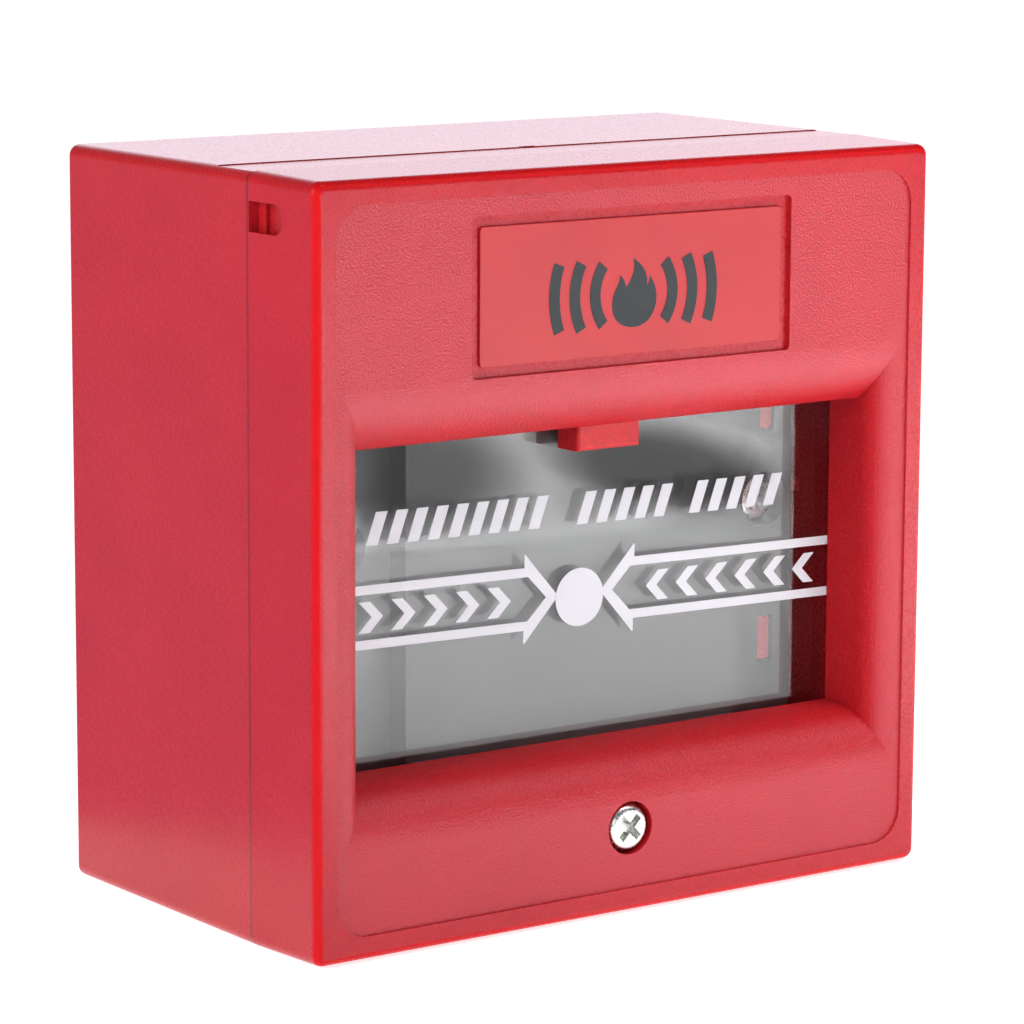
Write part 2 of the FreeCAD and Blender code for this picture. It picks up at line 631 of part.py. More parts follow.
def base_screws():
    screws = []
    top_y = CUP_FLOOR - BASE_HEAD_HEIGHT
    for x in (-BASE_SCREW_X, BASE_SCREW_X):
        head = cyl_y(x, 0, BASE_HEAD_R, (top_y, CUP_FLOOR))
        top = [e for e in head.Edges if len(e.Vertexes) == 1 and
               abs(e.Vertexes[0].Point.y - top_y) < TINY]
        head = head.makeFillet(BASE_DOME_R, top)
        head = head.cut(cross_recess(x, 0, top_y, *BASE_CROSS))
        shank = cyl_y(x, 0, SCREW_SHANK_R, (CUP_FLOOR - LAP, CUP_FLOOR + BASE_SHANK_LENGTH))
        screws.append(fuse(head, shank))
    return Part.makeCompound(screws)


# --- pane, tab and carrier ----------------------------------------------------------------
def glass_pane():
    pane = box((-PANE_HALF_X, PANE_HALF_X), (GLASS_FRONT, GLASS_FRONT + PANE_THICK), PANE_Z)
    return pane.makeChamfer(PANE_CHAMFER, pane.Edges)


def drop_tab():
    """Red tab that sits on the pane's top edge and reaches back to the switch lever."""
    x = (-TAB_HALF_X, TAB_HALF_X)
    nose = box(x, (TAB_FRONT, TAB_BACK), (TAB_BOTTOM, TAB_STEP_Z))
    nose = nose.makeFillet(TAB_EDGE_R, [e for e in nose.Edges if
                                        max(v.Point.y for v in e.Vertexes) < TAB_FRONT + TINY])
    stem = box(x, (TAB_STEM_FRONT, TAB_BACK), (TAB_STEP_Z - LAP, TAB_ARM[1]))
    arm = box(x, (TAB_STEM_FRONT, TAB_ARM_BACK), TAB_ARM)
    foot = box((TAB_FINGER_X[0], 0), (TAB_FOOT_FRONT, TAB_ARM_BACK), TAB_ARM)
    finger = box(TAB_FINGER_X, (TAB_FINGER_FRONT, TAB_ARM_BACK),
                 (TAB_ARM[0], PIVOT_Z - LEVER_THICK / 2 - TAB_FINGER_GAP))
    return fuse(nose, stem, arm, foot, finger)


def pane_carrier():
    """Sprung yoke under the pane: two legs joined by a bar below the cover-screw boss."""
    leg = box(CARRIER_LEG_X, CARRIER_Y, (CARRIER_BAR_Z[0], CARRIER_TOP))
    leg = leg.cut(box(CARRIER_DENT_X, (CARRIER_Y[0] - PAST, CARRIER_DENT_BACK), CARRIER_DENT_Z))
    arm = box((CARRIER_LEG_X[1] - LAP, CARRIER_ARM_END), CARRIER_Y,
              (CARRIER_SPRING_Z[1], CARRIER_ARM_TOP))
    bar = box((-CARRIER_LEG_X[1], CARRIER_LEG_X[1]), CARRIER_Y, CARRIER_BAR_Z)
    return fuse(bar, *both_sides(fuse(leg, arm)))


def carrier_springs():
    return Part.makeCompound([coil(x, SPRING_Y, CARRIER_SPRING_Z, SPRING_R)
                              for x in (-SPRING_X, SPRING_X)])


def tab_spring():
    return coil(0, TAB_SPRING_Y, TAB_SPRING_Z, SPRING_R)


# --- circuit board ------------------------------------------------------------------------
def circuit_board():
    mid_z = sum(BOARD_Z) / 2
    board = rounded_slab(BOARD_HALF_X, (BOARD_Z[1] - BOARD_Z[0]) / 2, BOARD_Y, BOARD_R, mid_z)
    through = (BOARD_Y[0] - PAST, BOARD_Y[1] + PAST)
    for x, z in STANDOFFS:
        board = board.cut(cyl_y(x, z, BOARD_HOLE_R, through))
    for x in TERMINAL_X:
        board = board.cut(cyl_y(x, TERMINAL_Z, PIN_HOLE_R, through))
    for x in ways():
        board = board.cut(cyl_y(x, BLOCK_MID_Z, PIN_HOLE_R, through))
    return board


def board_screws():
    screws = []
    seat_y = BOARD_Y[1]
    depth, reach, slot = BOARD_CROSS
    for x, z in STANDOFFS:
        head = cyl_y(x, z, BOARD_HEAD_R, (seat_y, seat_y + BOARD_HEAD_HEIGHT))
        recess = cross_recess(x, z, seat_y + BOARD_HEAD_HEIGHT - depth + PAST, PAST, reach, slot)
        shank = cyl_y(x, z, BOARD_SHANK_R, (seat_y - BOARD_SHANK_LENGTH, seat_y + LAP))
        screws.append(fuse(head.cut(recess), shank))
    return Part.makeCompound(screws)


# --- microswitch --------------------------------------------------------------------------
def switch_case():
    case = box(SWITCH_X, (SWITCH_Y[0] + LID_THICK, SWITCH_Y[1]), SWITCH_Z)
    room = box((SWITCH_X[0] + SWITCH_WALL, SWITCH_X[1] - SWITCH_WALL),
               (SWITCH_Y[0], SWITCH_Y[1] - SWITCH_WALL),
               (SWITCH_Z[0] + SWITCH_WALL, SWITCH_Z[1] - SWITCH_WALL))
    case = case.cut(room)
    ear_z = (EAR_BOTTOM, SWITCH_Z[0] + LAP)
    ears = [box(EAR_X, y, ear_z) for y in ((SWITCH_Y[0] + LID_THICK, EAR_INNER[0]),
                                           (EAR_INNER[1], SWITCH_Y[1]))]
    case = fuse(case, *ears)
    case = case.cut(cyl_y(PIVOT_X, PIVOT_Z, PIN_R, SWITCH_Y))
    play_x, play_y = PLUNGER_PLAY
    half = PLUNGER_HALF + play_x
    case = case.cut(box((PLUNGER_X - half, PLUNGER_X + half),
                        (PLUNGER_Y[0] - play_y, PLUNGER_Y[1] + play_y),
                        (SWITCH_Z[0] - PAST, SWITCH_Z[0] + SWITCH_WALL + PAST)))
    for x in TERMINAL_X:
        case = case.cut(terminal(x))
    return case


def switch_lid():
    return box(SWITCH_X, (SWITCH_Y[0], SWITCH_Y[0] + LID_THICK), SWITCH_Z)


def terminal(x):
    half_x, half_z = TERMINAL_HALF
    return box((x - half_x, x + half_x), (TERMINAL_FRONT, BOARD_Y[1] + TERMINAL_TAIL),
               (TERMINAL_Z - half_z, TERMINAL_Z + half_z))


def switch_terminals():
    return Part.makeCompound([terminal(x) for x in TERMINAL_X])


def switch_contacts():
    """Two fixed contacts, above and below the blade's tip."""
    low, high = (BLADE_Z + above for above in CONTACT_UPPER)
    upper = fuse(cyl_z(CONTACT_X, CONTACT_Y, CONTACT_R, (low, high)),
                 cyl_z(CONTACT_X, CONTACT_Y, CONTACT_STEM_R,
                       (high - LAP, TERMINAL_Z - TERMINAL_HALF[1])))
    lower = cyl_z(CONTACT_X, CONTACT_Y, CONTACT_R,
                  (SWITCH_Z[0] + SWITCH_WALL, BLADE_Z - CONTACT_LOWER))
    return Part.makeCompound([upper, lower])


def lever_pin():
    return cyl_y(PIVOT_X, PIVOT_Z, PIN_R, (SWITCH_Y[0] + LID_THICK, SWITCH_Y[1]))


def switch_lever():
    y = (LEVER_MID_Y - LEVER_HALF_WIDTH, LEVER_MID_Y + LEVER_HALF_WIDTH)
    blade = box((SWITCH_X[0], PIVOT_X - LEVER_ROOT), y,
                (PIVOT_Z - LEVER_THICK / 2, PIVOT_Z + LEVER_THICK / 2))
    curl = cyl_y(PIVOT_X, PIVOT_Z, LEVER_CURL_R, y)
    return fuse(blade, curl).cut(cyl_y(PIVOT_X, PIVOT_Z, PIN_R + PIN_PLAY, y))


def switch_plunger():
    tip_z = PIVOT_Z + LEVER_THICK / 2 + PLUNGER_GAP
    stem = box((PLUNGER_X - PLUNGER_HALF, PLUNGER_X + PLUNGER_HALF), PLUNGER_Y,
               (tip_z, BLADE_Z - PLUNGER_REACH))
    return fuse(stem, box((PLUNGER_X - FLANGE_HALF, PLUNGER_X + FLANGE_HALF), FLANGE_Y, FLANGE_Z))


def contact_blade():
    strip = box((BLADE_TIP_X, BLADE_ROOT_X), BLADE_Y, [BLADE_Z + face for face in BLADE_FACES])
    pad = cyl_z(CONTACT_X, CONTACT_Y, BLADE_PAD_R,
                (BLADE_Z - BLADE_PAD_HALF, BLADE_Z + BLADE_PAD_HALF))
    return fuse(strip, pad, cyl_y(BLADE_ROOT_X, BLADE_Z, BLADE_ROLL_R, BLADE_Y))


# --- terminal block -----------------------------------------------------------------------
def ways():
    return [n * WAY_PITCH for n in (-1, 0, 1)]


def terminal_housing():
    block = box((-BLOCK_X, BLOCK_X), BLOCK_Y, BLOCK_Z)
    block = block.makeFillet(BLOCK_EDGE_R, edges_along(block, 0))
    for x in ways():
        room = box((x - CAGE_HALF, x + CAGE_HALF), [BLOCK_Y[0] + deep for deep in CAGE_DEPTH],
                   (BLOCK_Z[0] - PAST, CAGE_ROOM_TOP))
        well = cyl_y(x, BLOCK_MID_Z, WELL_R, (BLOCK_Y[0] + WELL_DEPTH, BLOCK_Y[1] + PAST))
        pin = cyl_y(x, BLOCK_MID_Z, BLOCK_PIN_R, (BLOCK_Y[0] - PAST, BLOCK_Y[0] + 2 * PAST))
        block = block.cut(room).cut(well).cut(pin)
    return block


def terminal_cages():
    cages = []
    half = CAGE_HALF - CAGE_PLAY
    y = (BLOCK_Y[0] + CAGE_DEPTH[0] + CAGE_PLAY, BLOCK_Y[0] + CAGE_BACK)
    for x in ways():
        cage = box((x - half, x + half), y, CAGE_Z)
        cage = cage.cut(box((x - CAGE_HOLE_HALF, x + CAGE_HOLE_HALF),
                            (y[0] + CAGE_WALLS[0], y[1] - CAGE_WALLS[1]), BLOCK_Z))
        cages.append(cage.cut(cyl_y(x, BLOCK_MID_Z, CAGE_HOLE_HALF,
                                    (y[1] - CAGE_WALLS[1] - LAP, y[1] + PAST))))
    return Part.makeCompound(cages)


def terminal_screws():
    screws = []
    top = BLOCK_Y[1] - CLAMP_SUNK
    base = top - CLAMP_HEAD_HEIGHT
    half, depth = CLAMP_SLOT
    for x in ways():
        head = cyl_y(x, BLOCK_MID_Z, CLAMP_HEAD_R, (base, top))
        head = head.cut(box((x - CLAMP_HEAD_R, x + CLAMP_HEAD_R), (top - depth, top + PAST),
                            (BLOCK_MID_Z - half, BLOCK_MID_Z + half)))
        shank = cyl_y(x, BLOCK_MID_Z, CLAMP_SHANK_R, (BLOCK_Y[0] + CLAMP_TIP, base + LAP))
        screws.append(fuse(head, shank))
    return Part.makeCompound(screws)


def terminal_pins():
    y = (BOARD_Y[0] - BLOCK_PIN_TAIL, BLOCK_Y[0] + CAGE_DEPTH[0] + CAGE_PLAY)
    return Part.makeCompound([cyl_y(x, BLOCK_MID_Z, BLOCK_PIN_R, y) for x in ways()])


PIECES = [
    back_box, threaded_inserts, front_cover, label_plate, cover_screw, screw_retainer,
    base_plate, base_screws, glass_pane, drop_tab, tab_spring, pane_carrier, carrier_springs,
    circuit_board, board_screws, switch_case, switch_lid, switch_terminals, switch_contacts,
    lever_pin, switch_lever, switch_plunger, contact_blade,
    terminal_housing, terminal_cages, terminal_screws, terminal_pins,
]

os.makedirs("parts", exist_ok=True)
for make in PIECES:
    shape = make()
    shape.exportStep(os.path.join("parts", make.__name__ + ".step"))
    box_mm = shape.BoundBox
    print(f"{make.__name__:18s} solids {len(shape.Solids)} valid {shape.isValid()} "
          f"volume {shape.Volume:9.1f} mm3  {box_mm.XLength:6.2f} {box_mm.YLength:6.2f} "
          f"{box_mm.ZLength:6.2f}")
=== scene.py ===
import math

import bmesh
import bpy
from mathutils import Matrix, Vector


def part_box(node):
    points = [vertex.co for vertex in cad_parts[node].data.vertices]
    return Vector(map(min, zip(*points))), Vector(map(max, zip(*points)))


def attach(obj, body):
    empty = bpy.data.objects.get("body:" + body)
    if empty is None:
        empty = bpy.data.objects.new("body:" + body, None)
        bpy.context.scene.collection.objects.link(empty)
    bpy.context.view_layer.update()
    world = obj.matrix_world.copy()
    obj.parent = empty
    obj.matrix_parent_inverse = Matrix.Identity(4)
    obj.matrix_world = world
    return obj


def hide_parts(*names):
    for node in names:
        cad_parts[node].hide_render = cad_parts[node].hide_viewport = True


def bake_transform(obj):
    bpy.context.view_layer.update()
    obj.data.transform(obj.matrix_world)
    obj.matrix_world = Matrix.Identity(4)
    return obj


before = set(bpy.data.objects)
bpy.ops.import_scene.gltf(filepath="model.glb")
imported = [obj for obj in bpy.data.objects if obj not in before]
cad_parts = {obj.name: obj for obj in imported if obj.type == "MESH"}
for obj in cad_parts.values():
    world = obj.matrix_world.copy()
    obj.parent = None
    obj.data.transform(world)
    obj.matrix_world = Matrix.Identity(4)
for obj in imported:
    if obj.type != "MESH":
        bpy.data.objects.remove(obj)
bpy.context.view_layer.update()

MM = 0.001
PER_MM = 1000.0        # texture scale: object coordinates are metres


# --- where things are, read from the frame ---------------------------------------------------
cover_low, cover_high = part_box("front_cover")
pane_low, pane_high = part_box("glass_pane")
label_low, label_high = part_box("label_plate")
box_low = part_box("back_box")[0]
GLASS_Y = pane_low.y
LABEL_Y = label_low.y
LABEL_MID_Z = (label_low.z + label_high.z) / 2
FRONT_Y = cover_low.y
SEAM_Y = cover_high.y
FLOOR_Z = min(box_low.z, cover_low.z)

PRINT_THICK = 0.04 * MM
PRINT_GAP = 0.005 * MM     # keeps the print off the surface behind it


# --- node helpers ----------------------------------------------------------------------------
class Nodes:
    """A material's node tree with short calls for the nodes this script uses."""

    def __init__(self, name):
        self.material = bpy.data.materials.new(name)
        self.material.use_nodes = True
        self.tree = self.material.node_tree
        self.tree.nodes.clear()
        self.out = self.tree.nodes.new("ShaderNodeOutputMaterial")
        self.coords = self.tree.nodes.new("ShaderNodeTexCoord").outputs["Object"]

    def add(self, kind, **settings):
        node = self.tree.nodes.new(kind)
        for key, value in settings.items():
            setattr(node, key, value)
        return node

    def put(self, socket, value):
        if isinstance(value, bpy.types.NodeSocket):
            self.tree.links.new(value, socket)
        else:
            socket.default_value = value

    def math(self, operation, a, b=0.0):
        node = self.add("ShaderNodeMath", operation=operation)
        self.put(node.inputs[0], a)
        self.put(node.inputs[1], b)
        return node.outputs[0]

    def scaled(self, x=1.0, y=1.0, z=1.0):
        """Object coordinates stretched by a factor along each axis."""
        node = self.add("ShaderNodeMapping")
        self.put(node.inputs["Vector"], self.coords)
        self.put(node.inputs["Scale"], (x, y, z))
        return node.outputs[0]

    def noise(self, per_mm, detail=2.0, rough=0.5, vector=None, distortion=0.0):
        node = self.add("ShaderNodeTexNoise")
        self.put(node.inputs["Vector"], vector or self.coords)
        self.put(node.inputs["Scale"], per_mm * PER_MM)
        self.put(node.inputs["Detail"], detail)
        self.put(node.inputs["Roughness"], rough)
        self.put(node.inputs["Distortion"], distortion)
        return node.outputs[0]

    def cells(self, per_mm):
        node = self.add("ShaderNodeTexVoronoi", feature="SMOOTH_F1")
        self.put(node.inputs["Vector"], self.coords)
        self.put(node.inputs["Scale"], per_mm * PER_MM)
        return node.outputs["Distance"]

    def ramp(self, value, low, high, to_low=0.0, to_high=1.0):
        node = self.add("ShaderNodeMapRange", interpolation_type="SMOOTHSTEP")
        for name, number in zip(("Value", "From Min", "From Max", "To Min", "To Max"),
                                (value, low, high, to_low, to_high)):
            self.put(node.inputs[name], number)
        return node.outputs[0]

    def blend(self, fac, a, b):
        node = self.add("ShaderNodeMix", data_type="RGBA")
        self.put(node.inputs["Factor"], fac)
        self.put(node.inputs["A"], a)
        self.put(node.inputs["B"], b)
        return node.outputs["Result"]

    def bump(self, height, distance_mm, strength=1.0, normal=None):
        node = self.add("ShaderNodeBump")
        self.put(node.inputs["Height"], height)
        self.put(node.inputs["Distance"], distance_mm * MM)
        self.put(node.inputs["Strength"], strength)
        if normal is not None:
            self.put(node.inputs["Normal"], normal)
        return node.outputs[0]

    def axis(self, name):
        node = self.add("ShaderNodeSeparateXYZ")
        self.put(node.inputs[0], self.coords)
        return node.outputs[name]

    def worn_edge(self):
        """1 on sharp convex edges, 0 elsewhere."""
        return self.ramp(self.add("ShaderNodeNewGeometry").outputs["Pointiness"], 0.52, 0.60)

    def facing(self, name):
        """How much the surface itself, without its bumps, faces along an axis."""
        split = self.add("ShaderNodeSeparateXYZ")
        self.put(split.inputs[0], self.add("ShaderNodeNewGeometry").outputs["True Normal"])
        return split.outputs[name]

    def from_middle(self, name, middle=0.0):
        """Distance along an axis from a middle, without its sign."""
        return self.math("ABSOLUTE", self.math("SUBTRACT", self.axis(name), middle))

    def principled(self, **inputs):
        node = self.add("ShaderNodeBsdfPrincipled")
        for name, value in inputs.items():
            self.put(node.inputs[name.replace("_", " ")], value)
        self.tree.links.new(node.outputs[0], self.out.inputs["Surface"])
        return node


def colour(r, g, b):
    return (r, g, b, 1.0)


def add_object(name, data):
    made = bpy.data.objects.new(name, data)
    bpy.context.scene.collection.objects.link(made)
    return made


# --- materials -------------------------------------------------------------------------------
RED = colour(0.39, 0.008, 0.012)
RED_LIGHT = colour(0.405, 0.009, 0.013)
RED_DEEP = colour(0.375, 0.007, 0.011)
EDGE_HIGHLIGHT_RED = colour(0.52, 0.004, 0.006)
SHEEN = colour(0.85, 0.88, 1.0)
SEAM_SHADE = colour(0.10, 0.003, 0.005)
SEAM_SHADE_WIDTH = (0.08 * MM, 0.26 * MM)    # painted shade in the seam is full up to the first, gone past the second
GRAIN_TOP_HIGHLIGHT = colour(0.52, 0.045, 0.060)
GRAIN_PIT_SHADE = colour(0.33, 0.005, 0.009)
GRAIN_DEPTH = 0.14                     # mm
SMOOTH_GLOSS = 0.36
ETCHED_GLOSS = 0.57
SUBSURFACE = {"Subsurface_Radius": (1.2 * MM, 0.2 * MM, 0.2 * MM), "Subsurface_Scale": 1.0}
# where the cover's finish and its painted edge highlight change: from the middle of its face, and
# depths behind its front
EDGE_START = cover_high.x - 1.5 * MM   # the rounded outer edge
EDGE_FADE = 0.5 * MM
EDGE_TURN = (0.12, 0.35)               # how far it has turned where the change starts and ends
PANEL_HALF = cover_high.x - 3.0 * MM   # the border around the etched panel is 3 mm
PANEL_FADE = 0.15 * MM
PANEL_DEPTH = (0.10 * MM, 0.20 * MM)
POCKET_HALF = (22.25 * MM, 8.9 * MM)   # the smooth pocket that the label lies in
POCKET_FADE = 0.05 * MM
POCKET_DEPTH = (0.30 * MM, 0.40 * MM)
RECESS_TURN = (0.45, 0.93)             # how much it faces the front where it is dull and glossy


def red_body(name, panel=False):
    """Glossy red ABS. With panel, the sunk front panel and its rolls are spark-eroded, their grain
    painted lighter on the tops and darker in the pits as light and shade.
    """
    n = Nodes(name)
    drift = n.noise(0.045, 3.0, 0.55)
    tone = n.blend(n.ramp(drift, 0.35, 0.65), RED_DEEP, RED_LIGHT)
    # painted shade: the box and the cover are darkened along their seam, where shade falls in the
    # gap between them
    seam_shade = n.ramp(n.from_middle("Y", SEAM_Y), *SEAM_SHADE_WIDTH, 0.75, 0.0)
    tone = n.blend(seam_shade, tone, SEAM_SHADE)
    peel = n.noise(0.55, 2.0, 0.5)
    fine = n.noise(3.2, 2.0, 0.6)
    scuffs = n.ramp(n.noise(0.9, 4.0, 0.7, n.scaled(1.0, 1.0, 9.0)), 0.62, 0.74)
    smooth_rough = n.math("ADD", n.ramp(fine, 0.3, 0.7, 0.25, 0.31),
                          n.math("MULTIPLY", scuffs, 0.05))
    smooth = n.bump(peel, 0.008, 0.5)
    if not panel:
        n.principled(Base_Color=tone, Roughness=smooth_rough,
                     Normal=n.bump(fine, 0.0008, 0.15, smooth), Specular_IOR_Level=0.4,
                     Subsurface_Weight=0.06, **SUBSURFACE)
        return n.material
    mask = panel_mask(n)
    edge = front_edge(n)
    # painted highlight: the rounded outer edge is painted a brighter, purer red
    tone = n.blend(n.math("MULTIPLY", edge, 0.85), tone, EDGE_HIGHLIGHT_RED)
    grains = n.math("ADD", n.math("MULTIPLY", n.noise(3.9, 1.0, 0.5), 0.75),
                    n.math("MULTIPLY", n.cells(4.8), 0.25))
    # the grain pattern is real texture; its tops are painted lighter as a highlight and its pits
    # darker as shade
    tone = n.blend(n.math("MULTIPLY", n.ramp(grains, 0.50, 0.66), n.math("MULTIPLY", mask, 0.35)),
                   tone, GRAIN_TOP_HIGHLIGHT)
    tone = n.blend(n.math("MULTIPLY", n.ramp(grains, 0.30, 0.46, 1.0, 0.0),
                          n.math("MULTIPLY", mask, 0.40)), tone, GRAIN_PIT_SHADE)
    etched_rough = n.ramp(grains, 0.35, 0.65, 0.34, 0.52)
    rough = n.add("ShaderNodeMix", data_type="FLOAT")
    n.put(rough.inputs["Factor"], mask)
    n.put(rough.inputs["A"], smooth_rough)
    n.put(rough.inputs["B"], etched_rough)
    turned = n.ramp(n.math("MULTIPLY", n.facing("Y"), -1.0), *RECESS_TURN, 0.80, 0.0)
    gloss = n.math("MULTIPLY", n.ramp(mask, 0.0, 1.0, SMOOTH_GLOSS, ETCHED_GLOSS),
                   n.math("SUBTRACT", 1.0, n.math("MULTIPLY", mask, turned)))
    etched = n.bump(n.math("MULTIPLY", grains, mask), GRAIN_DEPTH, 1.0, smooth)
    n.principled(Base_Color=tone, Roughness=rough.outputs["Result"], Normal=etched,
                 Specular_IOR_Level=n.math("MULTIPLY", gloss, n.ramp(edge, 0.0, 1.0, 1.0, 0.3)),
                 Specular_Tint=SHEEN, Subsurface_Weight=0.06, **SUBSURFACE)
    return n.material


def front_edge(n):
    """1 on the rounded outer edge of the cover's front, where the red is painted brighter as a
    highlight and is less glossy.
    """
    side = n.math("MAXIMUM", n.math("ABSOLUTE", n.facing("X")), n.math("ABSOLUTE", n.facing("Z")))
    front = n.math("MULTIPLY", n.facing("Y"), -1.0)
    turned = n.ramp(n.math("MINIMUM", side, front), *EDGE_TURN)
    outer = n.math("MAXIMUM", n.from_middle("X"), n.from_middle("Z"))
    return n.math("MULTIPLY", turned, n.ramp(outer, EDGE_START, EDGE_START + EDGE_FADE))


def panel_mask(n):
    """1 on the sunk panel and inside the finger recess, 0 on the border, sides and label pocket."""
    def within(axis, low, high, middle=0.0):
        return n.ramp(n.from_middle(axis, middle), low, high, 1.0, 0.0)

    def behind_front(low, high):
        return n.ramp(n.axis("Y"), FRONT_Y + low, FRONT_Y + high)

    half_x, half_z = POCKET_HALF
    inside = n.math("MULTIPLY", within("X", PANEL_HALF, PANEL_HALF + PANEL_FADE),
                    within("Z", PANEL_HALF, PANEL_HALF + PANEL_FADE))
    pocket = n.math("MULTIPLY", within("X", half_x - POCKET_FADE, half_x + POCKET_FADE),
                    within("Z", half_z - POCKET_FADE, half_z + POCKET_FADE, LABEL_MID_Z))
    pocket = n.math("MULTIPLY", pocket, behind_front(*POCKET_DEPTH))
    return n.math("MULTIPLY", n.math("MULTIPLY", inside, behind_front(*PANEL_DEPTH)),
                  n.math("SUBTRACT", 1.0, pocket))


def red_label():
    n = Nodes("red_label")
    drift = n.noise(0.08, 3.0, 0.5)
    fine = n.noise(2.6, 3.0, 0.6)
    n.principled(Base_Color=n.blend(n.ramp(drift, 0.35, 0.65), RED_DEEP, RED_LIGHT),
                 Roughness=n.ramp(fine, 0.3, 0.7, 0.36, 0.44), Normal=n.bump(fine, 0.012, 0.6),
                 Specular_IOR_Level=0.5)
    return n.material


def red_tab():
    n = Nodes("red_tab")
    fine = n.noise(1.2, 2.0, 0.5)
    n.principled(Base_Color=n.blend(n.ramp(fine, 0.3, 0.7), RED, colour(0.50, 0.014, 0.020)),
                 Roughness=n.ramp(fine, 0.3, 0.7, 0.30, 0.38), Normal=n.bump(fine, 0.01, 0.4),
                 Specular_IOR_Level=0.25, Subsurface_Weight=0.15, **SUBSURFACE)
    return n.material


def matt_plastic(name, base, dark, rough):
    """Moulded plastic with a fine grain, a slow change of tone and paler worn edges."""
    n = Nodes(name)
    drift = n.ramp(n.noise(0.06, 3.0, 0.5), 0.35, 0.65)
    grain = n.noise(1.4, 3.0, 0.6)
    tone = n.blend(drift, dark, base)
    pale = colour(*(min(1.0, 1.35 * c + 0.02) for c in base[:3]))
    tone = n.blend(n.math("MULTIPLY", n.worn_edge(), 0.4), tone, pale)
    n.principled(Base_Color=tone, Roughness=n.ramp(grain, 0.3, 0.7, rough - 0.06, rough + 0.06),
                 Normal=n.bump(grain, 0.02, 0.6))
    return n.material


def metal(name, base, dark, rough, brushed=(1.0, 1.0, 1.0)):
    """Bright metal with drawn or turned marks and faint stains."""
    n = Nodes(name)
    marks = n.noise(2.5, 3.0, 0.6, n.scaled(*brushed))
    stains = n.ramp(n.noise(0.7, 4.0, 0.6), 0.5, 0.75)
    n.principled(Base_Color=n.blend(n.math("MULTIPLY", stains, 0.35), base, dark), Metallic=1.0,
                 Roughness=n.ramp(marks, 0.25, 0.75, rough - 0.07, rough + 0.10),
                 Normal=n.bump(marks, 0.006, 0.5))
    return n.material


def pane_glass():
    """Clear glass with faint smears. Rays from lamps pass straight through it."""
    n = Nodes("pane_glass")
    smear = n.noise(0.05, 4.0, 0.6, n.scaled(1.0, 1.0, 2.6), 1.2)
    body = n.principled(Base_Color=colour(0.97, 0.985, 0.975), Transmission_Weight=1.0, IOR=1.5,
                        Roughness=n.ramp(smear, 0.45, 0.75, 0.0, 0.05))
    clear = n.add("ShaderNodeBsdfTransparent")
    n.put(clear.inputs["Color"], colour(0.96, 0.97, 0.965))
    mix = n.add("ShaderNodeMixShader")
    n.put(mix.inputs[0], n.add("ShaderNodeLightPath").outputs["Is Shadow Ray"])
    n.put(mix.inputs[1], body.outputs[0])
    n.put(mix.inputs[2], clear.outputs[0])
    n.put(n.out.inputs["Surface"], mix.outputs[0])
    return n.material


def ink(name, base, worn, rough):
    """Screen ink: nearly flat, with pinholes and slightly thin patches."""
    n = Nodes(name)
    patch = n.ramp(n.noise(0.35, 3.0, 0.6), 0.55, 0.8)
    pin = n.ramp(n.noise(3.0, 2.0, 0.5), 0.68, 0.76)
    thin = n.math("MAXIMUM", n.math("MULTIPLY", patch, 0.25), n.math("MULTIPLY", pin, 0.5))
    n.principled(Base_Color=n.blend(thin, base, worn), Roughness=n.ramp(pin, 0.0, 1.0, rough, 0.6),
                 Specular_IOR_Level=0.3, Normal=n.bump(n.noise(2.0, 2.0, 0.5), 0.004, 0.4))
    return n.material


def board_laminate():
    """Green solder mask over a faint glass weave."""
    n = Nodes("board_laminate")
    wave_x = n.math("SINE", n.math("MULTIPLY", n.axis("X"), 9.0 * PER_MM))
    wave_z = n.math("SINE", n.math("MULTIPLY", n.axis("Z"), 9.0 * PER_MM))
    weave = n.math("MULTIPLY", wave_x, wave_z)
    tone = n.blend(n.ramp(weave, -1.0, 1.0), colour(0.008, 0.09, 0.035), colour(0.012, 0.13, 0.05))
    n.principled(Base_Color=tone, Roughness=n.ramp(n.noise(0.6), 0.3, 0.7, 0.22, 0.34),
                 Normal=n.bump(weave, 0.003, 0.4))
    return n.material


